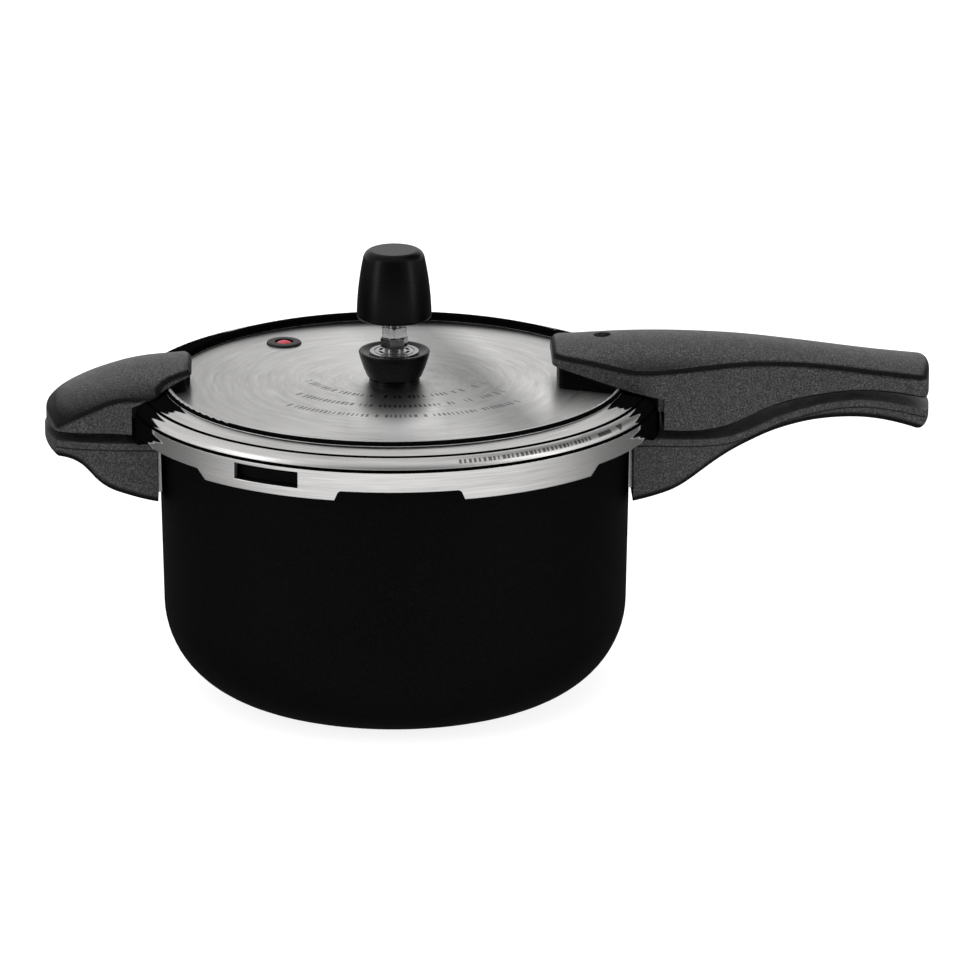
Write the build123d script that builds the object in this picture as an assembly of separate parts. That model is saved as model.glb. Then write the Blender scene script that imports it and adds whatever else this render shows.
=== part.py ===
from build123d import *
import math
import os

# Stovetop pressure cooker, 20 cm class. Millimetres, +Z up.
# The origin is the middle of the flat base; the long handles point along +X.

# ---- driving dimensions -------------------------------------------------
WALL = 3.0               # pot wall and base
BASE_R = 61.9            # flat part of the base
CORNER_R = 40.0          # outer rounding between base and wall
DRAFT = 1.15             # wall leans outward, degrees
RIM_Z = 129.0            # top of the pot rim
FLANGE_R = 106.5
FLANGE_T = 4.0
LUG_R = 112.3            # bayonet lugs of the pot
LUG_ANGLE = 25.0
LUG_DROP = 7.1           # how far the lug lip hangs below the rim top
BAYONET_COUNT = 6

CREST_Z = 140.7          # top of the bead round the lid
DOME_Z = 137.9           # middle of the recessed lid panel
DOME_R = 98.9
DOME_DROP = 0.7
BEAD_R = 101.4           # outer face of the bead
BEAD_FOOT_Z = 138.6      # where the bead meets the ring outside it
LID_T = 2.0
RING_R = 110.4           # outer edge of the flat ring outside the bead
RING_Z = 137.2
SHOULDER_R = 115.9
SHOULDER_Z = 132.5
SKIRT_R = 116.3
SKIRT_IN_R = 113.6
SKIRT_Z = 118.6
GROOVE = 1.2             # decorative grooves of the lid
TAB_LIP_R = 109.0
TAB_LIP_T = 2.5
NOTCH_H = 4.2
FRONT_NOTCH = (27.0, 2.2)    # angle and slanted step of the notches across from the handles
SIDE_NOTCH = (27.6, 6.0)     # the same for the four beside the handles
NOTCH_FILLET = 2.0
WINDOW_AT = -119.5       # safety window in the skirt, degrees from +X
WINDOW_W = 30.9
WINDOW_LOW = 122.6
WINDOW_HIGH = 129.7

GASKET_OUT_R = 113.0
GASKET_IN_R = 101.4
GASKET_LOW = RIM_Z + 0.35
GASKET_HIGH = 134.9

CROWN_R = 39.0           # crown across the top of the lid handles
SHARED_FROM = 117.0      # outside this the lid and pot handles share one plan
POT_END = 103.6          # flat inner ends of the pot handles, from the axis
LID_END = 116.9          # flat inner ends of the lid handle legs
PIN_X = 91.0             # pressure pin in the long lid handle
PIN_R = 2.6
PIN_CLEAR = 0.05
PIN_TOP = 156.4
PIN_TRAVEL = 2.5
PIN_SEAL_T = 1.4
BUSH_R = 3.85
SEAT_GAP = 0.05          # between the lid and what stands on it
BOSS_R = 6.8             # bosses under the lid handles, standing on the lid panel
LID_SCREW_X = 79.0
LID_SCREW_R = 2.5
HELPER_SCREW_X = 95.3
HELPER_BOSS_R = 6.0
INSERT_R = 4.0
LID_INSERT_TOP = 152.0
HELPER_INSERT_TOP = 147.0

SEAL_R = 5.4
SEAL_T = 1.2
LID_SCREW_HEAD_R = 4.8
GRIP_LIP = 2.8           # height of the lip along the top of the pot handles
GRIP_GROOVE = 0.6
GRIP_ROUNDING = 5.0      # lower edges of the pot handles

CUP_R = 15.6
CUP_BASE_R = 11.1
CUP_TOP = DOME_Z + 13.9
DISC_R = 10.7
DISC_T = 1.2
DISC_LOW = CUP_TOP - 1.4
SLOT_COUNT = 8
PIPE_R = 3.0
PIPE_FOOT_R = 5.0
PIPE_LOW = 128.5
PIPE_SEAT = 140.0        # where the pipe starts inside the stub
PIPE_BORE_R = 1.2
VENT_SEAL_R = 8.5
FOOT_NUT_AF = 14.0
FOOT_NUT_H = 4.5
HEX_AF = 10.7
HEX_H = 4.3
HEX_LOW = 153.6
CAP_LOW = 167.0
CAP_H = 30.4
CAP_LOW_R = 16.4
CAP_TOP_R = 13.1
CORE_R = 10.5
CORE_LOW = 171.0
CORE_HIGH = 193.0
CORE_MOUTH_R = 7.0       # room round the vent pipe in the core and its ring
RING_OUT_R = 13.6
PIPE_TOP = 177.0
COLLAR_R = 3.6
COLLAR_Z = 188.5
NEEDLE_R = 2.0
NEEDLE_CLEAR = 0.05

PLUG_XY = (-48.0, 61.0)  # safety plug
PLUG_R = 7.8
PLUG_NECK_R = 5.0
SEAT_TOP = 138.5
SEAT_LOW = 132.0
BUTTON_RISE = 1.5
BUTTON_TRAVEL = 3.5
BUTTON_R = 3.9
BUTTON_STEM_R = 2.5

RIVETS = ((-9.5, 96.5), (9.5, 96.5), (-9.5, 107.0), (9.5, 107.0))
RIVET_R = 2.0
RIVET_HEAD_R = 4.0
RIVET_HEAD_T = 1.4
PLATE_R = 104.8          # outer face of the bracket plates
PLATE_W = 27.0
PLATE_LOW = 92.0
PLATE_HIGH = 112.0
TONGUE_END = 132.0
TONGUE_W = 13.0
TONGUE_T = 2.0
TONGUE_Z = 108.0
TONGUE_BOSS_R = 4.5
POT_SCREW_X = 121.0
POT_SCREW_R = 2.0
POT_SCREW_HEAD_R = 4.0
POT_SCREW_SEAT = 98.5
POT_SCREW_TOP = 106.0

# Generous limits of blanks and cutters.
CUT_LOW = 120.0          # cuts through the lid
CUT_HIGH = 145.0
BOSS_LOW = 130.0         # feet of what stands on the lid
LID_HANDLE_LOW = 100.0
LID_HANDLE_HIGH = 170.0
POT_HANDLE_LOW = 70.0
POT_HANDLE_HIGH = 140.0
REACH = 60.0             # half width of regions drawn across Y
BLANK_HALF_W = 30.0      # half width of the crowned blanks


# ---- small helpers ------------------------------------------------------
def turned(points):
    """Solid of revolution about Z from an (r, z) outline."""
    outline = make_face(Plane.XZ * Polyline(*points, close=True))
    return revolve(outline, Axis.Z)


def rod(radius, low, high, x=0.0, y=0.0):
    """Upright cylinder between two heights."""
    return Pos(x, y, (low + high) / 2) * Cylinder(radius, high - low)


def hexagon(across_flats, low, high, x=0.0, y=0.0, turn=0.0, chamfer_r=0.0):
    """Upright hexagonal prism, its corners chamfered when chamfer_r is given."""
    corner_r = across_flats / math.sqrt(3)
    prism = extrude(Pos(x, y, low) * Rot(0, 0, turn) * RegularPolygon(corner_r, 6), high - low)
    if chamfer_r:
        cone = Cylinder(corner_r + 0.3, high - low)
        cone = chamfer(cone.edges().filter_by(GeomType.CIRCLE), chamfer_r)
        prism = prism & (Pos(x, y, (low + high) / 2) * cone)
    return prism


def opposite(shape):
    """Half turn about Z, for what repeats on the -X side."""
    return Rot(0, 0, 180) * shape


def sector(angle, centre, radius, low, high):
    """Wedge about Z, used to keep or cut one lug or tab."""
    half = math.radians(angle / 2)
    reach = radius / math.cos(half)
    outline = Polyline(
        (0, 0), (reach * math.cos(half), -reach * math.sin(half)),
        (reach * math.cos(half), reach * math.sin(half)), close=True)
    return Rot(0, 0, centre) * Pos(0, 0, low) * extrude(make_face(outline), high - low)


# ---- pot ----------------------------------------------------------------
def wall_radius(z, inset=0.0):
    """Radius of the straight part of the pot wall at height z."""
    lean = math.radians(DRAFT)
    start_z = CORNER_R * (1 - math.sin(lean))
    return BASE_R + CORNER_R * math.cos(lean) + (z - start_z) * math.tan(lean) - inset


def pot_profile(inset, top):
    """Half section of the pot's outside, or of its cavity when inset is the wall."""
    lean = math.radians(DRAFT)
    radius = CORNER_R - inset
    corner_end = (BASE_R + radius * math.cos(lean), CORNER_R - radius * math.sin(lean))
    half = math.radians((90 - DRAFT) / 2)
    corner_mid = (BASE_R + radius * math.sin(half), CORNER_R - radius * math.cos(half))
    lines = [
        Line((0, inset), (BASE_R, inset)),
        ThreePointArc((BASE_R, inset), corner_mid, corner_end),
        Line(corner_end, (wall_radius(top, inset), top)),
        Line((wall_radius(top, inset), top), (0, top)),
        Line((0, top), (0, inset)),
    ]
    return make_face(Plane.XZ * Wire(lines))


def pot_body():
    """Pot wall and base with the rim flange, its bayonet lugs and the rivet holes."""
    shell = revolve(pot_profile(0.0, RIM_Z - 1.0), Axis.Z)
    flange = turned([
        (90, RIM_Z - FLANGE_T), (FLANGE_R, RIM_Z - FLANGE_T),
        (FLANGE_R, RIM_Z), (90, RIM_Z),
    ])
    flange = fillet(flange.edges().filter_by(GeomType.CIRCLE).group_by(SortBy.RADIUS)[-1], 1.2)
    lug_ring = turned([
        (FLANGE_R - 3, RIM_Z - 2.6), (LUG_R - 3, RIM_Z - 2.6), (LUG_R - 3, RIM_Z - LUG_DROP),
        (LUG_R, RIM_Z - LUG_DROP), (LUG_R, RIM_Z - 1.0), (LUG_R - 1.0, RIM_Z), (FLANGE_R - 3, RIM_Z),
    ])
    body = shell + flange
    for i in range(BAYONET_COUNT):
        body += lug_ring & sector(LUG_ANGLE, i * 360 / BAYONET_COUNT, LUG_R + 15, RIM_Z - 12, RIM_Z + 2)
    cavity = revolve(pot_profile(WALL, RIM_Z + 3.0), Axis.Z)
    body -= cavity
    for y, z in RIVETS:
        body -= rivet_hole(y, z)
        body -= opposite(rivet_hole(y, z))
    return body


def rivet_hole(y, z):
    """Hole along X for one rivet of the +X side."""
    return Pos(wall_radius(z), y, z) * Rot(0, 90, 0) * Cylinder(RIVET_R, 30)


def pot_handle_bracket():
    """Steel strip of the +X side: a plate riveted to the wall and a tongue into the handle."""
    arc_plate = turned([
        (wall_radius(PLATE_LOW), PLATE_LOW), (PLATE_R, PLATE_LOW),
        (PLATE_R, PLATE_HIGH), (wall_radius(PLATE_HIGH), PLATE_HIGH),
    ])
    plate_z = (PLATE_LOW + PLATE_HIGH) / 2
    plate = arc_plate & (Pos(PLATE_R, 0, plate_z) * Box(30, PLATE_W, PLATE_HIGH - PLATE_LOW))
    tongue_start = PLATE_R - 1.0
    tongue = Pos((tongue_start + TONGUE_END) / 2, 0, TONGUE_Z) * Box(
        TONGUE_END - tongue_start, TONGUE_W, TONGUE_T)
    boss = rod(TONGUE_BOSS_R, POT_SCREW_TOP - 5.0, TONGUE_Z, POT_SCREW_X)
    bracket = plate + tongue + boss
    bracket -= rod(POT_SCREW_R, POT_HANDLE_LOW, POT_SCREW_TOP, POT_SCREW_X)
    for y, z in RIVETS:
        bracket -= rivet_hole(y, z)
    return bracket


def pot_handle_rivets():
    """Rivets through the pot wall and the two bracket plates, heads inside the pot."""
    group = []
    for y, z in RIVETS:
        inner = math.sqrt(wall_radius(z, WALL) ** 2 - y ** 2)
        tail = PLATE_R + 0.6
        shank = Pos((inner + tail) / 2, y, z) * Rot(0, 90, 0) * Cylinder(RIVET_R, tail - inner)
        cap = Pos(inner - RIVET_HEAD_T / 2, y, z) * Rot(0, 90, 0) * Cylinder(
            RIVET_HEAD_R, RIVET_HEAD_T + 1.0)
        cap = fillet(cap.edges().filter_by(GeomType.CIRCLE).sort_by(Axis.X)[0], 0.9)
        cap &= revolve(pot_profile(WALL, RIM_Z), Axis.Z)
        rivet = shank + cap
        group += [rivet, opposite(rivet)]
    return Compound(group)


def pot_handle_screws():
    """One screw up into each bracket boss, its head sunk in the handle's underside."""
    head = rod(POT_SCREW_HEAD_R, POT_SCREW_SEAT - 3.0, POT_SCREW_SEAT, POT_SCREW_X)
    slot = Pos(POT_SCREW_X, 0, POT_SCREW_SEAT - 3.0) * Box(6.0, 1.2, 2.0)
    cross = Pos(POT_SCREW_X, 0, POT_SCREW_SEAT - 3.0) * Box(1.2, 6.0, 2.0)
    screw = head + rod(POT_SCREW_R, POT_SCREW_SEAT - 1.0, POT_SCREW_TOP, POT_SCREW_X) - slot - cross
    return Compound([screw, opposite(screw)])


# ---- handles ------------------------------------------------------------
# Each table row is x, half width. Both pot and lid handle share one plan.
LONG_PLAN = ((68.6, 17.0), (81, 20.8), (93, 24.6), (104, 27.0), (117, 27.0), (132, 25.3),
             (150, 22.3), (170, 19.4), (190, 18.0), (210, 17.9), (232, 18.6))
HELPER_PLAN = ((88.6, 15.6), (94, 17.3), (98.5, 19.6), (101.5, 22.6), (103.2, 26.0), (117, 26.4),
               (135, 26.4), (147.5, 25.6))
# Rows of x, height for ridges and undersides.
LONG_RIDGE = ((66, 157.2), (80, 157.6), (95, 158.3), (113, 158.6), (135, 157.9), (153, 156.6),
              (170, 154.6), (185, 152.6), (200, 150.5), (216, 148.5), (236, 146.2))
LONG_LOW = ((116.9, 121.6), (134, 120.8), (144, 122.3), (152, 125.0), (161, 128.9), (171, 132.0),
            (186, 134.7), (202, 136.2), (218, 135.2), (236, 131.6))
LONG_POT_TOP = ((100, 118.0), (118, 117.9), (134, 117.2), (146, 117.9), (156, 121.0), (166, 125.1),
                (176, 128.2), (190, 131.2), (202, 132.3), (218, 130.6), (238, 126.2))
LONG_POT_LOW = ((100, 87.8), (108, 89.8), (115, 91.8), (122, 94.4), (129, 98.6), (136, 103.6),
                (143, 108.2), (150, 112.0), (157, 115.2), (164, 118.0), (171, 120.1), (180, 122.1),
                (192, 123.4), (204, 123.4), (216, 121.7), (226, 119.0), (238, 114.8))
HELPER_RIDGE = ((86, 150.9), (95, 150.3), (105, 149.5), (113, 148.4), (122, 146.2), (130, 143.6),
                (137, 140.7), (143, 137.6), (148, 134.0), (152, 129.4), (155, 124.0))
HELPER_LOW = ((114.6, 121.4), (130, 122.0), (142, 122.6), (156, 124.0))
LONG_UNDER = ((68.6, 148.8), (81, 145.0), (92, 141.0), (LID_END, 136.0))
HELPER_UNDER = ((88.6, 145.5), (97, 140.6), (114.6, 135.0))
HELPER_POT_TOP = ((100, 118.0), (118, 118.0), (134, 118.6), (146, 119.6), (157, 121.0))
HELPER_POT_LOW = ((100, 89.8), (110, 91.6), (118, 94.0), (124, 96.3), (129, 99.6), (133, 103.8),
                  (137, 107.8), (142, 110.4), (147, 111.4), (157, 111.6))


def plan_prism(plan, end_sag, low, high, grow=0.0, nose_r=0.0, tip_r=0.0):
    """Plan outline of a handle, mirrored about X, with a bowed outer end."""
    upper = [(x, w + grow) for x, w in plan]
    lower = [(x, -w) for x, w in upper]
    nose = upper[0]
    tip = upper[-1]
    edges = [
        Spline(*upper),
        ThreePointArc(tip, (tip[0] + end_sag, 0), (tip[0], -tip[1])),
        Spline(*reversed(lower)),
        Line((nose[0], -nose[1]), nose),
    ]
    face = make_face(Wire(edges))
    if nose_r:
        face = fillet(face.vertices().group_by(Axis.X)[0], nose_r)
    if tip_r:
        face = fillet(face.vertices().group_by(Axis.X)[-1], tip_r)
    return Pos(0, 0, low) * extrude(face, high - low, dir=(0, 0, 1))


def crown_body(ridge, low, half_width):
    """Body whose top is crowned across Y and follows the ridge heights along X."""
    drop = CROWN_R - math.sqrt(CROWN_R ** 2 - half_width ** 2)
    sections = []
    for x, z in ridge:
        edges = [
            ThreePointArc((half_width, z - drop), (0, z), (-half_width, z - drop)),
            Line((-half_width, z - drop), (-half_width, low)),
            Line((-half_width, low), (half_width, low)),
            Line((half_width, low), (half_width, z - drop)),
        ]
        sections.append(Pos(x, 0, 0) * make_face(Plane.YZ * Wire(edges)))
    return loft(sections)


def drawn_across(lines, half_y):
    """Closed outline in the XZ plane drawn out to both sides of it."""
    face = Pos(0, -half_y, 0) * make_face(Plane.XZ * Wire(lines))
    return extrude(face, 2 * half_y, dir=(0, 1, 0))


def side_prism(curve, others):
    """Region of the XZ plane bounded by one smooth curve and straight lines."""
    corners = [curve[-1], *others, curve[0]]
    return drawn_across([Spline(*curve)] + [Line(a, b) for a, b in zip(corners, corners[1:])], REACH)


def band(top, low):
    """Region of the XZ plane between two smooth curves, drawn out to both sides."""
    return drawn_across([
        Spline(*top), Line(top[-1], low[-1]), Spline(*reversed(low)), Line(low[0], top[0]),
    ], REACH)


def main_face(body, up):
    """Largest face that looks up (1) or down (-1)."""
    facing = [face for face in body.faces() if face.normal_at().Z * up > 0.5]
    return max(facing, key=lambda face: face.area)


def long_side_edges(body, top_z):
    """Lower edges along the two flanks of a lid handle, below a height."""
    def along_flank(edge):
        box = edge.bounding_box()
        return abs(edge.center().Y) > 15 and box.max.Z < top_z and box.size.X > 10
    return [edge for edge in body.edges() if along_flank(edge)]


def lid_outside(grooved):
    """Runs of the lid's outer half section, from its middle to the skirt's edge."""
    half = DOME_R / 2
    runs = [
        ThreePointArc((0, DOME_Z), (half, dome_z(half)), (DOME_R - 0.6, dome_z(DOME_R))),
        Polyline((DOME_R - 0.6, dome_z(DOME_R)), (DOME_R, dome_z(DOME_R) + 0.5), (DOME_R, CREST_Z - 0.8)),
        ThreePointArc((DOME_R, CREST_Z - 0.8), (DOME_R + 1.1, CREST_Z), (BEAD_R, CREST_Z - 0.8)),
        Polyline((BEAD_R, CREST_Z - 0.8), (BEAD_R + 0.1, BEAD_FOOT_Z), (RING_R, RING_Z)),
    ]
    inner_edge = (RING_R, RING_Z)
    outer_edge = (RING_R + GROOVE, RING_Z - 0.5)
    low_edge = (SHOULDER_R, SHOULDER_Z)
    skirt_top = (SKIRT_R, SHOULDER_Z - GROOVE)
    shoulder = ThreePointArc(outer_edge, (114.6, 135.2), low_edge)
    if grooved:
        deep = RING_Z - GROOVE
        runs.append(Polyline(inner_edge, (RING_R + 0.1, deep), (RING_R + GROOVE, deep), outer_edge))
        runs.append(shoulder)
        cut_r = SHOULDER_R - 1.0
        runs.append(Polyline(low_edge, (cut_r, SHOULDER_Z), (cut_r, SHOULDER_Z - 1.1), skirt_top))
    else:
        runs += [Line(inner_edge, outer_edge), shoulder, Line(low_edge, skirt_top)]
    runs.append(Line(skirt_top, (SKIRT_R, SKIRT_Z)))
    return runs


def turned_runs(runs):
    """Solid of revolution about Z from a closed chain of runs in the XZ plane."""
    edges = [edge for run in runs for edge in run.edges()]
    return revolve(make_face(Plane.XZ * Wire(edges)), Axis.Z)


def lid_envelope():
    """Everything inside the lid's outer surface, its grooves filled, down to the skirt's edge."""
    runs = lid_outside(False)
    runs.append(Polyline((SKIRT_R, SKIRT_Z), (0, SKIRT_Z), (0, DOME_Z)))
    return turned_runs(runs)


def handle_foot(plan, under, inset):
    """Inset wall that closes the space between a lid handle's underside and the lid."""
    inner = [(x + inset, w - inset) for x, w in plan if x <= SHARED_FROM]
    foot = plan_prism(inner, 1.0, BOSS_LOW, LID_INSERT_TOP, 0.0, 3.0)
    top = [(x, z + 1.0) for x, z in under]
    low = [(under[-1][0] + 10, BOSS_LOW), (under[0][0], BOSS_LOW)]
    edge = Polyline(*top, (under[-1][0] + 10, under[-1][1] + 1.0), *low, close=True)
    return foot & drawn_across(edge.edges(), REACH)


def lid_room():
    """The lid's outside with a hair of room all over, cut from what stands on the lid."""
    low = SHOULDER_Z
    bead = rod(BEAD_R + 0.16, low, CREST_Z + SEAT_GAP) - rod(DOME_R - SEAT_GAP, low, CREST_Z + 1)
    return Pos(0, 0, SEAT_GAP) * lid_envelope() + bead


def lid_handle(ridge, plan, end_sag, low, under, corner_rs, inset):
    """Crowned lid handle on the +X side with its foot, before its bosses and holes."""
    body = crown_body(ridge, LID_HANDLE_LOW, BLANK_HALF_W)
    body &= plan_prism(plan, end_sag, LID_HANDLE_LOW, LID_HANDLE_HIGH, 0.0, *corner_rs)
    first = under[0]
    back = first[0] - 8
    others = [(ridge[-1][0], LID_HANDLE_HIGH), (back, LID_HANDLE_HIGH), (back, first[1] + 2), *under]
    body &= side_prism(low, others)
    body = fillet(main_face(body, 1).edges(), 4.0)
    body = fillet(long_side_edges(body, 137.0), 1.2)
    return body + handle_foot(plan, under, inset)


def lid_long_handle():
    """Long handle of the lid, with its screw sleeve's seat and the pressure pin's hole."""
    body = lid_handle(LONG_RIDGE, LONG_PLAN, 2.4, LONG_LOW, LONG_UNDER, (6.0, 4.0), 3.0)
    body += rod(BOSS_R, BOSS_LOW, LID_INSERT_TOP, LID_SCREW_X)
    body += rod(BOSS_R, BOSS_LOW, LID_INSERT_TOP, PIN_X)
    body -= lid_room()
    body -= rod(INSERT_R, BOSS_LOW, LID_INSERT_TOP, LID_SCREW_X)
    return body - rod(BUSH_R, BOSS_LOW, LID_HANDLE_HIGH, PIN_X)


def lid_helper_handle():
    """Short handle of the lid, on the -X side."""
    body = lid_handle(HELPER_RIDGE, HELPER_PLAN, 5.0, HELPER_LOW, HELPER_UNDER, (5.0, 3.0), 2.5)
    body += rod(HELPER_BOSS_R, BOSS_LOW, HELPER_INSERT_TOP - 2, HELPER_SCREW_X)
    body = opposite(body) - lid_room()
    return body - rod(INSERT_R, BOSS_LOW, HELPER_INSERT_TOP, -HELPER_SCREW_X)


def pot_handle(top, low, plan, end_sag):
    """Handle of the pot, on the +X side, with its bracket pocket and edge groove."""
    body = band(top, low) & plan_prism(plan, end_sag, POT_HANDLE_LOW, POT_HANDLE_HIGH)
    rim = main_face(body, -1).edges()
    body = fillet([edge for edge in rim if edge.bounding_box().max.X > POT_END + 1], GRIP_ROUNDING)
    groove = band([(x, z - GRIP_LIP) for x, z in top], [(x, z - GRIP_LIP - GRIP_GROOVE) for x, z in top])
    body -= groove - plan_prism(plan, end_sag, POT_HANDLE_LOW, POT_HANDLE_HIGH, -GRIP_GROOVE)
    corner = Polyline((POT_END - 2, 112), (POT_END + 5.2, 130), (POT_END - 2, 130), close=True)
    body -= drawn_across(corner.edges(), REACH)
    slot_end = TONGUE_END + 0.2
    body -= Pos((100 + slot_end) / 2, 0, TONGUE_Z) * Box(slot_end - 100, TONGUE_W + 0.4, TONGUE_T + 0.2)
    body -= rod(TONGUE_BOSS_R + 0.2, POT_SCREW_TOP - 5.2, TONGUE_Z, POT_SCREW_X)
    body -= rod(POT_SCREW_R + 0.2, POT_HANDLE_LOW, TONGUE_Z, POT_SCREW_X)
    body -= rod(POT_SCREW_HEAD_R + 0.2, POT_HANDLE_LOW, POT_SCREW_SEAT, POT_SCREW_X)
    return body - Pos(POT_END, 0, 102.0) * Box(4.4, PLATE_W + 1.0, 21.0)


def pot_long_handle():
    """Long handle of the pot, on the +X side."""
    plan = [(POT_END, 27.0)] + [row for row in LONG_PLAN if row[0] >= SHARED_FROM]
    return pot_handle(LONG_POT_TOP, LONG_POT_LOW, plan, 2.4)


def pot_helper_handle():
    """Short handle of the pot, on the -X side."""
    plan = [(POT_END, 26.4), (117, 26.4), (135, 26.4), (148.2, 25.6)]
    return opposite(pot_handle(HELPER_POT_TOP, HELPER_POT_LOW, plan, 5.0))


# ---- lid ----------------------------------------------------------------
def dome_z(r, under=0.0):
    """Height of the lid panel at a radius."""
    return DOME_Z - DOME_DROP * (r / DOME_R) ** 2 - under


def lid_shell():
    """Lid panel with its bead, ring and grooves, and the skirt with its bayonet tabs."""
    half = DOME_R / 2
    under_end = (BEAD_R - 0.3, dome_z(DOME_R, LID_T))
    under = [
        Polyline((SKIRT_R, SKIRT_Z), (TAB_LIP_R, SKIRT_Z), (TAB_LIP_R, SKIRT_Z + TAB_LIP_T),
                 (SKIRT_IN_R, SKIRT_Z + TAB_LIP_T), (SKIRT_IN_R, 131.0), (112.6, 133.9), (110.9, 134.95),
                 (109.0, 135.5), (BEAD_R + 0.2, 136.9), (BEAD_R - 0.3, 136.5), under_end),
        ThreePointArc(under_end, (half, dome_z(half, LID_T)), (0, DOME_Z - LID_T)),
        Line((0, DOME_Z - LID_T), (0, DOME_Z)),
    ]
    shell = turned_runs(lid_outside(True) + under)
    for centre in range(30, 360, 60):
        size = FRONT_NOTCH if centre % 180 == 90 else SIDE_NOTCH
        shell -= Rot(0, 0, centre) * notch_cutter(*size)
    window = Pos(SKIRT_R, 0, (WINDOW_LOW + WINDOW_HIGH) / 2) * Box(16, WINDOW_W, WINDOW_HIGH - WINDOW_LOW)
    shell -= Rot(0, 0, WINDOW_AT) * window
    shell -= rod(PIPE_FOOT_R, CUT_LOW, CUT_HIGH)
    shell -= rod(PIN_R + PIN_CLEAR, CUT_LOW, CUT_HIGH, PIN_X)
    shell -= rod(LID_SCREW_R, CUT_LOW, CUT_HIGH, LID_SCREW_X)
    shell -= rod(LID_SCREW_R, CUT_LOW, CUT_HIGH, -HELPER_SCREW_X)
    shell -= rod(PLUG_NECK_R, CUT_LOW, CUT_HIGH, *PLUG_XY)
    skirt = shell & rod(SKIRT_R + 1, SKIRT_Z - 1, SHOULDER_Z - GROOVE)
    return shell - skirt, skirt


def notch_cutter(angle, ramp):
    """Cuts the skirt short between two tabs, with rounded shoulders, on the +X side."""
    half = SKIRT_R * math.sin(math.radians(angle / 2))
    top = SKIRT_Z + NOTCH_H
    low = SKIRT_Z - 1.0
    outline = make_face(Plane.YZ * Polyline(
        (-half - ramp / 2, low), (-half + ramp / 2, top), (half - ramp / 2, top),
        (half + ramp / 2, low), close=True))
    prism = extrude(outline, 20, dir=(1, 0, 0))
    prism = fillet(prism.edges().filter_by(Axis.X).group_by(Axis.Z)[-1], NOTCH_FILLET)
    return Pos(104, 0, 0) * prism


def gasket():
    """Lip seal: an outer bead in the lid's channel and a lip over the pot rim."""
    return turned([
        (GASKET_IN_R, GASKET_LOW), (108.5, GASKET_LOW + 0.3), (GASKET_OUT_R - 0.8, GASKET_LOW + 0.1),
        (GASKET_OUT_R, GASKET_LOW + 0.9), (GASKET_OUT_R, 131.2), (111.6, 134.2), (110.2, GASKET_HIGH),
        (GASKET_IN_R + 0.4, GASKET_HIGH), (GASKET_IN_R + 0.4, GASKET_HIGH - 1.6),
        (107.4, GASKET_HIGH - 2.0), (107.8, GASKET_LOW + 2.0), (GASKET_IN_R, GASKET_LOW + 1.1),
    ])


def lid_handle_inserts():
    """Threaded brass sleeves moulded into the two lid handles."""
    long_one = rod(INSERT_R, dome_z(LID_SCREW_X) + 2.0, LID_INSERT_TOP, LID_SCREW_X)
    long_one -= rod(LID_SCREW_R, BOSS_LOW, LID_INSERT_TOP - 1.5, LID_SCREW_X)
    helper_one = rod(INSERT_R, CREST_Z + 0.4, HELPER_INSERT_TOP, -HELPER_SCREW_X)
    helper_one -= rod(LID_SCREW_R, BOSS_LOW, HELPER_INSERT_TOP - 1.5, -HELPER_SCREW_X)
    return Compound([long_one, helper_one])


def lid_handle_seals(shell):
    """Washers that seal the two screw holes on the lid's underside."""
    group = []
    for x in (LID_SCREW_X, -HELPER_SCREW_X):
        low = dome_z(abs(x), LID_T) - SEAL_T
        washer = rod(SEAL_R, low, low + SEAL_T + 0.5, x) - rod(LID_SCREW_R, CUT_LOW, CUT_HIGH, x)
        group.append(washer - shell)
    return Compound(group)


def lid_handle_screws():
    """Screws from inside the lid up into the handle inserts."""
    group = []
    for x, top in ((LID_SCREW_X, LID_INSERT_TOP - 1.5), (-HELPER_SCREW_X, HELPER_INSERT_TOP - 1.5)):
        seat = dome_z(abs(x), LID_T) - SEAL_T
        head = rod(LID_SCREW_HEAD_R, seat - 2.4, seat, x)
        head = fillet(head.edges().filter_by(GeomType.CIRCLE).sort_by(Axis.Z)[0], 0.9)
        slot = Pos(x, 0, seat - 2.4) * Box(LID_SCREW_HEAD_R * 2, 1.2, 1.8)
        group.append(head + rod(LID_SCREW_R, seat - 1.0, top, x) - slot)
    return Compound(group)


# ---- valve --------------------------------------------------------------
def valve_cup():
    """Black bowl round the foot of the vent pipe."""
    cup = turned([
        (PIPE_FOOT_R, DOME_Z), (CUP_BASE_R, DOME_Z), (CUP_BASE_R, DOME_Z + 1.5),
        (CUP_BASE_R - 0.5, DOME_Z + 1.7), (CUP_BASE_R - 0.5, DOME_Z + 2.2),
        (CUP_BASE_R + 0.9, DOME_Z + 2.7), (13.6, 144.4), (15.2, 149.4), (CUP_R, CUP_TOP - 0.5),
        (CUP_R - 0.3, CUP_TOP), (CUP_R - 1.4, CUP_TOP), (DISC_R + 0.5, CUP_TOP - 0.9),
        (DISC_R, CUP_TOP - 0.9), (DISC_R, DISC_LOW), (DISC_R - 1.2, DISC_LOW),
        (DISC_R - 1.2, DOME_Z + 4.0), (PIPE_FOOT_R, DOME_Z + 4.0),
    ])
    return cup


def valve_disc():
    """Steel disc over the bowl, with a turned step and a ring of slots."""
    disc = rod(DISC_R, DISC_LOW, DISC_LOW + DISC_T)
    disc -= rod(DISC_R - 1.6, DISC_LOW + DISC_T - 0.4, HEX_LOW) - rod(DISC_R - 2.3, PIPE_SEAT, HEX_LOW)
    disc -= rod(PIPE_R, PIPE_SEAT, PIPE_TOP)
    for i in range(SLOT_COUNT):
        slot = extrude(SlotCenterToCenter(1.9, 1.5, rotation=90), 6)
        disc -= Rot(0, 0, (i + 0.5) * 360 / SLOT_COUNT) * Pos(6.2, 0, DISC_LOW - 2) * slot
    return disc


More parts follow.
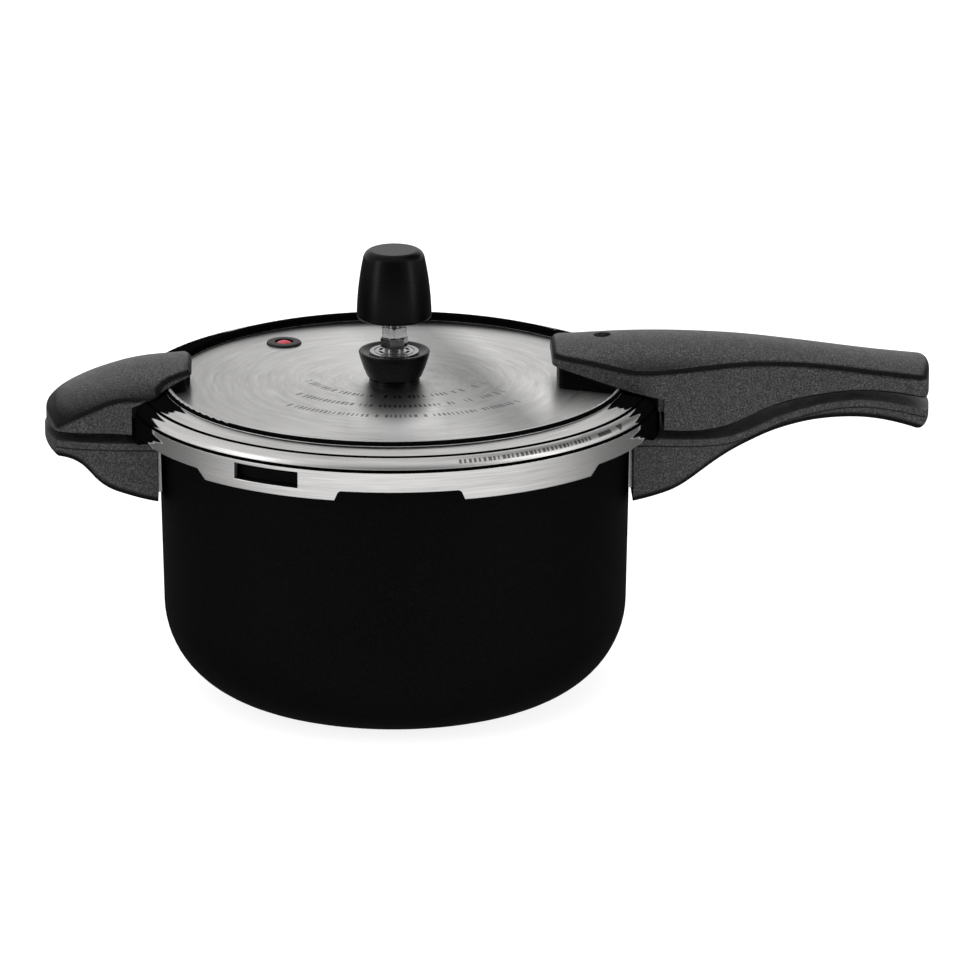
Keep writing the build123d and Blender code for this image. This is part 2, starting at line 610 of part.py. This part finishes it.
def vent_stub():
    """Threaded foot that passes through the lid and carries the pipe."""
    stub = rod(PIPE_FOOT_R, PIPE_LOW, DISC_LOW) - rod(PIPE_BORE_R, PIPE_LOW, PIPE_SEAT)
    return stub - rod(PIPE_R, PIPE_SEAT, DISC_LOW)


def vent_pipe():
    """Steam pipe, pressed into the stub."""
    pipe = rod(PIPE_R, PIPE_SEAT, PIPE_TOP)
    pipe = chamfer(pipe.edges().filter_by(GeomType.CIRCLE).sort_by(Axis.Z)[-1], 0.8)
    return pipe - rod(PIPE_BORE_R, PIPE_SEAT, PIPE_TOP)


def vent_stop_nut():
    """Upper hexagon on the pipe, with a collar under it."""
    collar = HEX_LOW + HEX_H
    low = collar + 0.6
    nut = hexagon(HEX_AF, low, low + HEX_H, 0, 0, 30, 0.7) + rod(PIPE_R + 1.2, collar, low)
    return nut - rod(PIPE_R, collar, low + HEX_H)


def vent_lock_nut():
    """Lower hexagon, screwed down on the valve disc's hub."""
    nut = hexagon(HEX_AF, HEX_LOW, HEX_LOW + HEX_H, 0, 0, 12, 0.7)
    nut += rod(PIPE_R + 1.3, DISC_LOW + DISC_T, HEX_LOW)
    return nut - rod(PIPE_R, PIPE_SEAT, PIPE_TOP)


def vent_seal(shell):
    """Washer between the lid and the foot nut."""
    washer = rod(VENT_SEAL_R, DOME_Z - LID_T - SEAL_T, DOME_Z - LID_T)
    return washer - rod(PIPE_FOOT_R, CUT_LOW, CUT_HIGH) - shell


def vent_foot_nut():
    """Nut under the lid that pulls the vent pipe and bowl down."""
    top = DOME_Z - LID_T - SEAL_T
    nut = hexagon(FOOT_NUT_AF, top - FOOT_NUT_H, top, 0, 0, 0, 0.8)
    return nut - rod(PIPE_FOOT_R, CUT_LOW, CUT_HIGH)


def valve_needle():
    """Pin inside the weight that rests over the vent pipe's bore."""
    tip = PIPE_TOP + 0.3
    needle = rod(NEEDLE_R, tip, COLLAR_Z + 1.0)
    needle = chamfer(needle.edges().filter_by(GeomType.CIRCLE).sort_by(Axis.Z)[0], 1.2)
    return needle + rod(COLLAR_R, COLLAR_Z, COLLAR_Z + 2.0)


def weight_core():
    """Turned steel slug that gives the weight its mass."""
    core = rod(CORE_R, CORE_LOW, CORE_HIGH)
    core -= rod(CORE_MOUTH_R, CORE_LOW - 5, PIPE_TOP + 0.6)
    core -= rod(NEEDLE_R + NEEDLE_CLEAR, CORE_LOW, CORE_HIGH)
    core -= rod(COLLAR_R + 0.4, COLLAR_Z - 0.4, CORE_HIGH + 1)
    return core


def weight_cap():
    """Tapered plastic cap over the core."""
    top = CAP_LOW + CAP_H
    outer = [
        Line((0, CAP_LOW), (CAP_LOW_R - 1.2, CAP_LOW)),
        ThreePointArc((CAP_LOW_R - 1.2, CAP_LOW), (CAP_LOW_R - 0.3, CAP_LOW + 0.4),
                      (CAP_LOW_R, CAP_LOW + 1.4)),
        ThreePointArc((CAP_LOW_R, CAP_LOW + 1.4), (15.45, 182.0), (CAP_TOP_R + 0.3, top - 3.2)),
        ThreePointArc((CAP_TOP_R + 0.3, top - 3.2), (12.1, top - 1.0), (CAP_TOP_R - 3.0, top)),
        Line((CAP_TOP_R - 3.0, top), (0, top)),
        Line((0, top), (0, CAP_LOW)),
    ]
    cap = revolve(make_face(Plane.XZ * Wire(outer)), Axis.Z)
    cap -= rod(RING_OUT_R, CAP_LOW - 1, CORE_LOW)
    return cap - rod(CORE_R, CAP_LOW, CORE_HIGH)


def weight_ring():
    """Retaining ring that keeps the core in the cap."""
    return rod(RING_OUT_R, CORE_LOW - 1.2, CORE_LOW) - rod(CORE_MOUTH_R, CORE_LOW - 2, CORE_LOW + 1)


# ---- safety devices -----------------------------------------------------
def safety_seat(shell):
    """Black grommet in the lid panel, with a sunk seat for the red button."""
    x, y = PLUG_XY
    seat = rod(PLUG_R, SEAT_TOP - 3.0, SEAT_TOP, x, y)
    seat = fillet(seat.edges().filter_by(GeomType.CIRCLE).sort_by(Axis.Z)[-1], 1.0)
    seat += rod(PLUG_NECK_R, SEAT_LOW, SEAT_TOP - 1, x, y)
    seat += rod(PLUG_NECK_R + 1.8, SEAT_LOW, SEAT_LOW + 3.4, x, y)
    seat -= shell
    seat -= rod(BUTTON_STEM_R + PIN_CLEAR, CUT_LOW, CUT_HIGH, x, y)
    seat -= rod(BUTTON_R + 0.3, SEAT_TOP - 1.5, CUT_HIGH, x, y)
    return seat


def safety_button():
    """Red button that the pressure pushes up out of its seat."""
    x, y = PLUG_XY
    base = SEAT_TOP - 1.2
    dome_r = (BUTTON_R ** 2 + BUTTON_RISE ** 2) / (2 * BUTTON_RISE)
    dome = Pos(x, y, base + BUTTON_RISE - dome_r) * Sphere(dome_r)
    dome &= rod(BUTTON_R, base, base + 4, x, y)
    foot = SEAT_LOW - BUTTON_TRAVEL - 0.5
    button = dome + rod(BUTTON_STEM_R, foot - 1.0, base + 0.3, x, y)
    return button + rod(BUTTON_STEM_R + 1.1, foot - 1.4, foot, x, y)


def pin_bush():
    """Steel sleeve that guides the pressure pin through the long lid handle."""
    bush = rod(BUSH_R, dome_z(PIN_X - BUSH_R) + 0.1, PIN_TOP - 1.0, PIN_X)
    return bush - rod(PIN_R + PIN_CLEAR, CUT_LOW, LID_HANDLE_HIGH, PIN_X)


def pressure_pin():
    """Pin that steam lifts to show that the pot is under pressure."""
    foot = dome_z(PIN_X, LID_T) - PIN_TRAVEL - 0.5 - PIN_SEAL_T
    pin = rod(PIN_R, foot, PIN_TOP, PIN_X)
    pin = fillet(pin.edges().filter_by(GeomType.CIRCLE).sort_by(Axis.Z)[-1], 0.8)
    return pin + rod(PIN_R + 1.6, foot - 1.4, foot, PIN_X)


def pin_seal():
    """Rubber ring on the pin that closes the lid's hole when the pin is up."""
    foot = dome_z(PIN_X, LID_T) - PIN_TRAVEL - 0.5 - PIN_SEAL_T
    return rod(PIN_R + 1.9, foot, foot + PIN_SEAL_T, PIN_X) - rod(PIN_R, CUT_LOW, CUT_HIGH, PIN_X)


def main():
    os.makedirs("parts", exist_ok=True)
    shell, skirt = lid_shell()
    bracket = pot_handle_bracket()
    parts = {
        "pot_body": pot_body(),
        "pot_long_handle": pot_long_handle(),
        "pot_helper_handle": pot_helper_handle(),
        "pot_long_handle_bracket": bracket,
        "pot_helper_handle_bracket": opposite(bracket),
        "pot_handle_rivets": pot_handle_rivets(),
        "pot_handle_screws": pot_handle_screws(),
        "lid_shell": shell,
        "lid_skirt": skirt,
        "lid_gasket": gasket(),
        "lid_long_handle": lid_long_handle(),
        "lid_helper_handle": lid_helper_handle(),
        "lid_handle_inserts": lid_handle_inserts(),
        "lid_handle_seals": lid_handle_seals(shell),
        "lid_handle_screws": lid_handle_screws(),
        "vent_stub": vent_stub(),
        "vent_pipe": vent_pipe(),
        "vent_stop_nut": vent_stop_nut(),
        "vent_lock_nut": vent_lock_nut(),
        "vent_seal": vent_seal(shell),
        "vent_foot_nut": vent_foot_nut(),
        "valve_cup": valve_cup(),
        "valve_disc": valve_disc(),
        "valve_needle": valve_needle(),
        "weight_core": weight_core(),
        "weight_cap": weight_cap(),
        "weight_ring": weight_ring(),
        "safety_seat": safety_seat(shell),
        "safety_button": safety_button(),
        "pin_bush": pin_bush(),
        "pressure_pin": pressure_pin(),
        "pin_seal": pin_seal(),
    }
    for name, shape in parts.items():
        export_step(shape, f"parts/{name}.step")


main()
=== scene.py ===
import math

import bpy
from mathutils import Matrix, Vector


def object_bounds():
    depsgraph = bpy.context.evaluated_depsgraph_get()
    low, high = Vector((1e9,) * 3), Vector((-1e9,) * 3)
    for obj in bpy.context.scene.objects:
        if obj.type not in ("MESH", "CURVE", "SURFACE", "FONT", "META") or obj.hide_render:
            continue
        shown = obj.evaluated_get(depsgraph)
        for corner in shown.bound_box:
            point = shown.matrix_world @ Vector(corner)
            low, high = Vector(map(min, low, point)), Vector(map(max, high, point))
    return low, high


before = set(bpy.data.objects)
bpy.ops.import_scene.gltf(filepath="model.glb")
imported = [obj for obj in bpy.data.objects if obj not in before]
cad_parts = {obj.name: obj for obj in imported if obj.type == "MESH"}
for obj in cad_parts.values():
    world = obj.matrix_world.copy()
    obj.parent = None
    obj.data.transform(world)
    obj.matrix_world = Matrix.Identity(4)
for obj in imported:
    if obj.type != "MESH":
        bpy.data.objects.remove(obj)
cad_low, cad_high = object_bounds()
MM = 0.001

# Radii and heights on the lid
PRINT_EDGE_R = 98.0 * MM                       # the dome's printed rows end inside this
DOME_EDGE_R = 98.6 * MM
BEAD_WALL_R = (98.35 * MM, 99.1 * MM)
BEAD_CREST_R = (99.0 * MM, 101.6 * MM)
BEAD_OUTSIDE_R = (100.7 * MM, 101.6 * MM)
BEAD_LOW_Z = 136.0 * MM
BEAD_TOP_Z = 138.75 * MM
UPPER_GROOVE_R = (110.3 * MM, 111.7 * MM)
UPPER_GROOVE_Z = 135.7 * MM
LOWER_GROOVE_R = 114.6 * MM
LOWER_GROOVE_Z = (131.22 * MM, 132.55 * MM)
SKIRT_TOP_Z = (131.2 * MM, 131.4 * MM)         # the brighter skirt ends between these
SHADE_R = 101.5 * MM                           # the handles' mirror images start at this radius
SHADE_Z = 134.0 * MM                           # and reach further round above this height

# Rows of strokes on the dome: middle radius in mm, start and end in degrees, strokes in a full turn, seed
PRINT_ROWS = ((43.0, -157, -32, 130, 3.3), (57.0, -141, -38, 166, 11.7), (71.5, -133, -44, 214, 23.1))
PRINT_CENTRE = (2.0 * MM, 18.0 * MM)
PRINT_HALF = 1.9                               # half a row's height in mm

# Marks on the shoulder
SHOULDER_R = 111.7 * MM
SHOULDER_ROW_Z = (134.3 * MM, 135.7 * MM)
SHOULDER_WEDGE_Z = (133.4 * MM, 135.8 * MM)

# Feet of the lid handles, where they are painted in shade: x and z of a point on the sloping top, and its
# fall per millimetre
LONG_FOOT = (68.6, 148.8, 0.27)
HELPER_FOOT = (88.6, 145.5, 0.42)
FOOT_END_X = 114.5 * MM
FOOT_LOW_Z = 130.0 * MM

BLACK = 0.002                                  # grey level of the black paint, also used for painted shade and painted dark reflections

# The camera: where it looks, and the width it sees at that distance
VIEW_TARGET = (0.04123, 0.0, 0.0879)
VIEW_AZIMUTH = -1.8
VIEW_ELEVATION = 17.38
VIEW_DISTANCE = 3.2746
VIEW_WIDTH = 0.42997
SENSOR_MM = 36.0

FLOOR_HALF = 30.0


# ---- node helpers --------------------------------------------------------
class Nodes:
    """Short calls for building a node tree. A mask is a number that is 1 inside an area and 0 outside it."""

    def __init__(self, tree):
        self.tree = tree

    def add(self, kind, inputs=(), **settings):
        node = self.tree.nodes.new(kind)
        for key, value in settings.items():
            setattr(node, key, value)
        for key, value in dict(inputs).items():
            self.put(node, key, value)
        return node

    def put(self, node, key, value):
        if isinstance(value, bpy.types.NodeSocket):
            self.tree.links.new(value, node.inputs[key])
        else:
            node.inputs[key].default_value = value

    def math(self, operation, a, b=0.0):
        return self.add("ShaderNodeMath", {0: a, 1: b}, operation=operation).outputs[0]

    def times(self, a, b):
        """The product; of two masks, 1 inside both."""
        return self.math("MULTIPLY", a, b)

    def larger(self, a, b):
        """The larger value; of two masks, 1 inside either."""
        return self.math("MAXIMUM", a, b)

    def above(self, value, limit):
        return self.math("GREATER_THAN", value, limit)

    def below(self, value, limit):
        return self.math("LESS_THAN", value, limit)

    def inside(self, value, low, high):
        """1 where low < value < high."""
        return self.times(self.above(value, low), self.below(value, high))

    def sector(self, angle, start, end):
        """1 between two angles, given in degrees."""
        return self.inside(angle, math.radians(start), math.radians(end))

    def length(self, x, y):
        return self.math("SQRT", self.math("ADD", self.times(x, x), self.times(y, y)))

    def ramp(self, value, low, high, out_low=0.0, out_high=1.0):
        node = self.add("ShaderNodeMapRange", {0: value, 1: low, 2: high, 3: out_low, 4: out_high})
        return node.outputs[0]

    def mix(self, factor, a, b):
        node = self.add("ShaderNodeMix", {0: factor, 6: a, 7: b}, data_type="RGBA")
        return node.outputs[2]

    def mix_value(self, factor, a, b):
        node = self.add("ShaderNodeMix", {0: factor, 2: a, 3: b}, data_type="FLOAT")
        return node.outputs[0]

    def vector(self, x, y=0.0, z=0.0):
        return self.add("ShaderNodeCombineXYZ", {0: x, 1: y, 2: z}).outputs[0]

    def parts(self, vector):
        """x, y and z of a vector."""
        return tuple(self.add("ShaderNodeSeparateXYZ", {0: vector}).outputs)

    def point(self):
        """Position on the part."""
        return self.add("ShaderNodeTexCoord").outputs["Object"]

    def noise(self, vector, scale, detail=2.0, roughness=0.5):
        node = self.add("ShaderNodeTexNoise",
                        {"Vector": vector, "Scale": scale, "Detail": detail, "Roughness": roughness})
        return node.outputs[0]


class Material(Nodes):
    """A new material, its node tree and its shader."""

    def __init__(self, name):
        self.material = bpy.data.materials.new(name)
        self.material.use_nodes = True
        super().__init__(self.material.node_tree)
        self.shader = self.tree.nodes["Principled BSDF"]

    def set(self, **values):
        for key, value in values.items():
            self.put(self.shader, key.replace("_", " "), value)

    def bump(self, height, distance, strength, edge_radius=None):
        """Fine relief, over normals that look rounded off at sharp edges where a radius is given."""
        inputs = {"Height": height, "Distance": distance, "Strength": strength}
        if edge_radius is not None:
            inputs["Normal"] = self.add("ShaderNodeBevel", {"Radius": edge_radius}, samples=6).outputs[0]
        self.set(Normal=self.add("ShaderNodeBump", inputs).outputs[0])


def grey(value, warm=0.0):
    return (value * (1 + warm), value, value * (1 - warm), 1.0)


# ---- the lid's brushed steel ---------------------------------------------
def brush_lines(n, cosine, sine, along, turns, per_metre, detail):
    """Fine lines that run round the axis, of limited length."""
    vector = n.vector(n.times(cosine, turns), n.times(sine, turns), n.times(along, per_metre))
    return n.noise(vector, 1.0, detail, 0.6)


def dashes(n, angle, count, seed, fill):
    """Broken marks round an axis: upright strokes of uneven width, with gaps between groups."""
    steps = n.times(angle, count / math.tau)
    cell = n.math("FLOOR", steps)
    part = n.math("SUBTRACT", steps, cell)
    chance = n.add("ShaderNodeTexWhiteNoise", {"W": n.math("ADD", cell, seed)},
                   noise_dimensions="1D").outputs[0]
    stroke = n.inside(part, 0.15, n.ramp(chance, 0.0, 1.0, 0.45, 0.95))
    return n.times(stroke, n.below(chance, fill))


def dome_marks(n, x, y):
    """Three rows of generic strokes on the front of the dome, about a point behind its middle."""
    off_x = n.math("SUBTRACT", x, PRINT_CENTRE[0])
    off_y = n.math("SUBTRACT", y, PRINT_CENTRE[1])
    radius = n.length(off_x, off_y)
    angle = n.math("ARCTAN2", off_y, off_x)
    marks = 0.0
    for middle, start, end, count, seed in PRINT_ROWS:
        row = n.inside(radius, (middle - PRINT_HALF) * MM, (middle + PRINT_HALF) * MM)
        row = n.times(row, n.sector(angle, start, end))
        marks = n.larger(marks, n.times(row, dashes(n, angle, count, seed, 0.84)))
    return marks


def shoulder_marks(n, radius, angle, z):
    """A row of strokes, a short bar and a wedge on the shoulder, near the long handle."""
    level = n.times(n.inside(z, *SHOULDER_ROW_Z), n.above(radius, SHOULDER_R))
    row = n.times(n.sector(angle, -78, -44), dashes(n, angle, 330, 5.2, 0.9))
    bar = n.sector(angle, -41.5, -37)
    marks = n.times(level, n.larger(row, bar))
    reach = n.ramp(z, *SHOULDER_WEDGE_Z, 0.0, 1.3)
    off = n.math("ABSOLUTE", n.math("SUBTRACT", angle, math.radians(-33.5)))
    wedge = n.below(off, n.times(reach, math.radians(1.0)))
    wedge = n.times(wedge, n.times(n.inside(z, *SHOULDER_WEDGE_Z), n.above(radius, SHOULDER_R)))
    return n.larger(marks, wedge)


def painted_dome_reflections(n, x, y):
    """Painted reflections on the dome: a dark diagonal band and a duller left where the steel's reflection
    dims, and a painted highlight strip in front of the valve that lightens its shade.
    """
    off = n.math("ADD", n.times(x, 0.963), n.times(y, 0.27))
    off = n.math("SUBTRACT", off, 35.0 * MM)
    left_side = n.ramp(off, -34.0 * MM, -5.0 * MM, 1.0, 0.42)
    right_side = n.ramp(off, 3.0 * MM, 19.0 * MM, 0.0, 0.68)
    far_left = n.ramp(x, -88.0 * MM, -15.0 * MM, 0.7, 1.0)
    strip = n.times(n.ramp(n.math("ABSOLUTE", x), 3.0 * MM, 22.0 * MM, 0.9, 0.0),
                    n.ramp(y, -20.0 * MM, -8.0 * MM, 1.0, 0.0))
    tone = n.times(n.math("ADD", left_side, right_side), far_left)
    return n.times(tone, n.math("ADD", strip, 1.0))


def handle_shade(n, radius, x, y, z, along):
    """Painted black areas, where the lid's rim would mirror the handles, with an uneven edge."""
    lean = n.math("ARCTAN2", n.math("ABSOLUTE", y), n.math("ABSOLUTE", x))
    wander = n.noise(n.vector(n.times(along, 210.0)), 1.0, 1.0)
    limit = n.ramp(wander, 0.3, 0.7, math.radians(21.0), math.radians(30.0))
    behind = n.times(n.above(z, SHADE_Z), n.ramp(y, 0.0, 20.0 * MM))
    limit = n.times(limit, n.mix_value(behind, 1.0, 1.9))
    near = n.ramp(n.math("SUBTRACT", lean, limit), -0.012, 0.012, 1.0, 0.0)
    return n.times(near, n.above(radius, SHADE_R))


def grooves(n, radius, sine, z):
    """The black inner wall and outer top of the bead, a painted dark reflection on its crest towards the
    back, and the two black grooves outside it.
    """
    wall = n.inside(radius, *BEAD_WALL_R)
    # Painted dark reflection: the crest turns black only towards the back.
    crest = n.times(n.inside(radius, *BEAD_CREST_R), n.ramp(sine, -0.35, 0.2))
    outside = n.times(n.inside(radius, *BEAD_OUTSIDE_R), n.above(z, BEAD_TOP_Z))
    bead = n.times(n.larger(wall, n.larger(crest, outside)), n.above(z, BEAD_LOW_Z))
    upper = n.times(n.inside(radius, *UPPER_GROOVE_R), n.above(z, UPPER_GROOVE_Z))
    lower = n.times(n.inside(z, *LOWER_GROOVE_Z), n.above(radius, LOWER_GROOVE_R))
    return n.larger(bead, n.larger(upper, lower))


def brushed_lid():
    n = Material("brushed_lid_steel")
    x, y, z = n.parts(n.point())
    radius = n.length(x, y)
    safe_radius = n.larger(radius, 1e-5)
    cosine = n.math("DIVIDE", x, safe_radius)
    sine = n.math("DIVIDE", y, safe_radius)
    along = n.math("SUBTRACT", radius, z)
    angle = n.math("ARCTAN2", y, x)
    fine = brush_lines(n, cosine, sine, along, 5.0, 2600.0, 3.0)
    broad = brush_lines(n, cosine, sine, along, 2.2, 320.0, 2.0)
    streaks = n.math("ADD", n.times(fine, 0.65), n.times(broad, 0.35))
    rim_tone = n.ramp(z, *SKIRT_TOP_Z, 1.3, 0.98)
    # On the dome the steel's tone is scaled by painted reflections: a dark band, a duller left and a painted
    # highlight in front of the valve.
    tone = n.mix_value(n.below(radius, DOME_EDGE_R), rim_tone, painted_dome_reflections(n, x, y))
    steel = n.mix(n.ramp(streaks, 0.33, 0.67), grey(0.45, 0.012), grey(0.66, 0.012))
    steel = n.add("ShaderNodeVectorMath", {0: steel, "Scale": tone}, operation="SCALE").outputs[0]
    # Black paint on the bead and in the grooves, together with painted dark reflections of the handles and
    # on the crest.
    black = n.larger(grooves(n, radius, sine, z), handle_shade(n, radius, x, y, z, along))
    marks = n.times(dome_marks(n, x, y), n.below(radius, PRINT_EDGE_R))
    marks = n.larger(marks, shoulder_marks(n, radius, angle, z))
    dark = n.larger(black, n.times(marks, 0.75))
    n.set(Base_Color=n.mix(dark, steel, grey(BLACK)))
    n.set(Metallic=n.math("SUBTRACT", 1.0, black))
    n.set(Roughness=n.mix_value(black, n.ramp(streaks, 0.3, 0.7, 0.36, 0.26), 0.5))
    n.set(Specular_IOR_Level=0.0)
    n.set(Anisotropic=0.82)
    n.set(Tangent=n.add("ShaderNodeTangent", direction_type="RADIAL", axis="Z").outputs[0])
    n.bump(fine, 0.00002, 0.35, 0.0004)
    return n.material


# ---- the other materials -------------------------------------------------
def bright_steel():
    n = Material("turned_steel")
    grain = n.noise(n.point(), 900.0, 3.0)
    n.set(Base_Color=n.mix(n.ramp(grain, 0.35, 0.65), grey(0.24), grey(0.34)))
    n.set(Metallic=1.0)
    n.set(Roughness=n.ramp(grain, 0.3, 0.7, 0.14, 0.22))
    n.bump(grain, 0.000005, 0.2, 0.0002)
    return n.material


def foot_start(foot):
    """Height in metres at which the line of a foot's sloping top meets the axis."""
    x, z, fall = foot
    return (z + x * fall) * MM


def phenolic():
    """Speckled charcoal, with painted shade on the lid handles' feet, on steep faces and underneath, where
    it is also less glossy.
    """
    n = Material("phenolic_grain")
    point = n.point()
    x, _, z = n.parts(point)
    speckle = n.noise(point, 1500.0, 2.0, 0.7)
    cloud = n.noise(point, 260.0, 3.0)
    body = n.mix(n.ramp(speckle, 0.44, 0.72), grey(0.008), grey(0.085))
    across = n.math("ABSOLUTE", x)
    long_side = n.above(x, 0.0)
    fall = n.mix_value(long_side, HELPER_FOOT[2], LONG_FOOT[2])
    start = n.mix_value(long_side, foot_start(HELPER_FOOT), foot_start(LONG_FOOT))
    foot = n.below(z, n.math("SUBTRACT", start, n.times(across, fall)))
    foot = n.times(foot, n.below(across, FOOT_END_X))
    foot = n.times(foot, n.above(z, FOOT_LOW_Z))
    facing = n.parts(n.add("ShaderNodeTexCoord").outputs["Normal"])[2]
    steep = n.times(n.ramp(facing, 0.12, 0.4), n.ramp(facing, 0.72, 0.9, 1.0, 0.0))
    underside = n.ramp(facing, -0.5, -0.2, 1.0, 0.0)
    # Painted shade: black on the feet, nearly black on steep faces and underneath.
    painted_shade = n.larger(foot, n.times(n.larger(steep, underside), 0.93))
    n.set(Base_Color=n.mix(painted_shade, body, grey(BLACK)))
    n.set(Roughness=n.ramp(cloud, 0.3, 0.7, 0.46, 0.56))
    n.set(Specular_IOR_Level=n.mix_value(painted_shade, 0.42, 0.03))
    n.bump(speckle, 0.00008, 0.5, 0.0004)
    return n.material


def pot_coating():
    n = Material("pebbled_black_coating")
    point = n.point()
    pebble = n.noise(point, 1100.0, 3.0, 0.6)
    cloud = n.noise(point, 60.0, 3.0)
    n.set(Base_Color=n.mix(n.ramp(pebble, 0.4, 0.7), grey(0.0006), grey(0.0022)))
    n.set(Roughness=n.ramp(cloud, 0.3, 0.7, 0.5, 0.58))
    n.set(Specular_IOR_Level=0.04)
    n.bump(pebble, 0.00006, 0.6)
    return n.material


def grained(name, scale, dark, light, roughness, spread, edge_radius=None):
    """Two tones mixed by a fine grain, which also varies the roughness."""
    n = Material(name)
    grain = n.noise(n.point(), scale, 3.0, 0.6)
    n.set(Base_Color=n.mix(n.ramp(grain, 0.35, 0.7), dark, light))
    n.set(Roughness=n.ramp(grain, 0.3, 0.7, roughness - spread, roughness + spread))
    n.bump(grain, 0.00002, 0.4, edge_radius)
    return n


def satin_black(name, roughness, base, scale, level):
    n = grained(name, scale, grey(base), grey(base * 2.2), roughness, 0.04, edge_radius=0.0003)
    n.set(Specular_IOR_Level=level)
    return n.material


def tinted(name, dark, light, metallic, roughness, scale):
    n = grained(name, scale, (*dark, 1.0), (*light, 1.0), roughness, 0.05)
    n.set(Metallic=metallic)
    return n.material


MATERIALS = {
    "brushed_lid": brushed_lid(),
    "bright_steel": bright_steel(),
    "phenolic": phenolic(),
    "pot_coating": pot_coating(),
    "black_plastic": satin_black("satin_black_plastic", 0.27, 0.0006, 1500.0, 0.09),
    "black_rubber": satin_black("black_rubber_moulding", 0.45, 0.003, 1200.0, 0.2),
    "silicone": satin_black("dark_silicone", 0.55, 0.012, 900.0, 0.35),
    "red_silicone": tinted("red_silicone_dome", (0.30, 0.012, 0.028), (0.42, 0.02, 0.045), 0.0, 0.38, 700.0),
    "brass": tinted("brass_bar", (0.52, 0.34, 0.11), (0.66, 0.45, 0.17), 1.0, 0.3, 800.0),
    "rivet_aluminium": tinted("rivet_aluminium_satin", (0.6, 0.6, 0.6), (0.74, 0.74, 0.74), 1.0, 0.4, 900.0),
}
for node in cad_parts.values():
    for place in node.material_slots:
        place.material = MATERIALS[place.material.name]


# ---- camera, floor, lights -----------------------------------------------
def aim(obj, target):
    obj.rotation_euler = (Vector(target) - obj.location).to_track_quat("-Z", "Y").to_euler()


def polar_place(target, azimuth, elevation, distance):
    a, e = math.radians(azimuth), math.radians(elevation)
    back = Vector((math.sin(a) * math.cos(e), -math.cos(a) * math.cos(e), math.sin(e)))
    return Vector(target) + back * distance


def make_camera():
    data = bpy.data.cameras.new("camera")
    camera = bpy.data.objects.new("camera", data)
    bpy.context.scene.collection.objects.link(camera)
    camera.location = polar_place(VIEW_TARGET, VIEW_AZIMUTH, VIEW_ELEVATION, VIEW_DISTANCE)
    aim(camera, VIEW_TARGET)
    data.lens = SENSOR_MM * VIEW_DISTANCE / VIEW_WIDTH
    data.clip_start, data.clip_end = 0.1, 100.0
    bpy.context.scene.camera = camera


def softbox(name, location, target, width, height, watts, glossy=True):
    data = bpy.data.lights.new(name, "AREA")
    data.shape = "RECTANGLE"
    data.size, data.size_y = width, height
    data.energy = watts
    light = bpy.data.objects.new(name, data)
    light.location = location
    aim(light, target)
    light.visible_glossy = glossy
    bpy.context.scene.collection.objects.link(light)


def make_world():
    """A pale surround, dim in front and in one high patch; from below, pale in front and dark behind."""
    world = bpy.data.worlds.new("studio")
    world.use_nodes = True
    n = Nodes(world.node_tree)
    direction = n.add("ShaderNodeTexCoord").outputs["Generated"]
    _, depth, height = n.parts(direction)
    above = n.ramp(depth, -0.92, -0.45, 0.22, 1.0)
    below = n.ramp(depth, -0.6, 0.1, 0.95, 0.1)
    surround = n.mix_value(n.ramp(height, -0.06, 0.02), below, above)
    patch = Vector((0.62, 0.38, 0.68)).normalized()
    toward = n.add("ShaderNodeVectorMath", {0: direction, 1: patch}, operation="DOT_PRODUCT")
    shade = n.ramp(toward.outputs["Value"], 0.80, 0.97, 1.0, 0.12)
    background = n.tree.nodes["Background"]
    n.put(background, "Color", (1.0, 1.0, 1.0, 1.0))
    n.put(background, "Strength", n.times(surround, shade))
    bpy.context.scene.world = world


def make_floor():
    """A large pale floor that gives off some light and isn't mirrored in the object."""
    mesh = bpy.data.meshes.new("floor")
    corners = [(-FLOOR_HALF, -FLOOR_HALF), (FLOOR_HALF, -FLOOR_HALF),
               (FLOOR_HALF, FLOOR_HALF), (-FLOOR_HALF, FLOOR_HALF)]
    mesh.from_pydata([(x, y, cad_low.z) for x, y in corners], [], [(0, 1, 2, 3)])
    floor = bpy.data.objects.new("floor", mesh)
    bpy.context.scene.collection.objects.link(floor)
    n = Material("pale_floor")
    n.set(Base_Color=grey(0.35), Roughness=0.9, Specular_IOR_Level=0.0)
    n.set(Emission_Color=grey(1.0), Emission_Strength=0.86)
    mesh.materials.append(n.material)
    floor.visible_glossy = False


make_camera()
make_world()
make_floor()
softbox("top", (0.0, 0.0, 2.6), (0, 0, 0), 3.0, 3.0, 60.0, glossy=False)
softbox("left", (-1.5, -0.75, 0.55), (0, 0, 0.1), 0.5, 1.3, 6.0)
softbox("right", (1.6, -0.9, 0.55), (0, 0, 0.1), 0.5, 1.3, 5.0)
bpy.context.scene.view_settings.view_transform = "Standard"
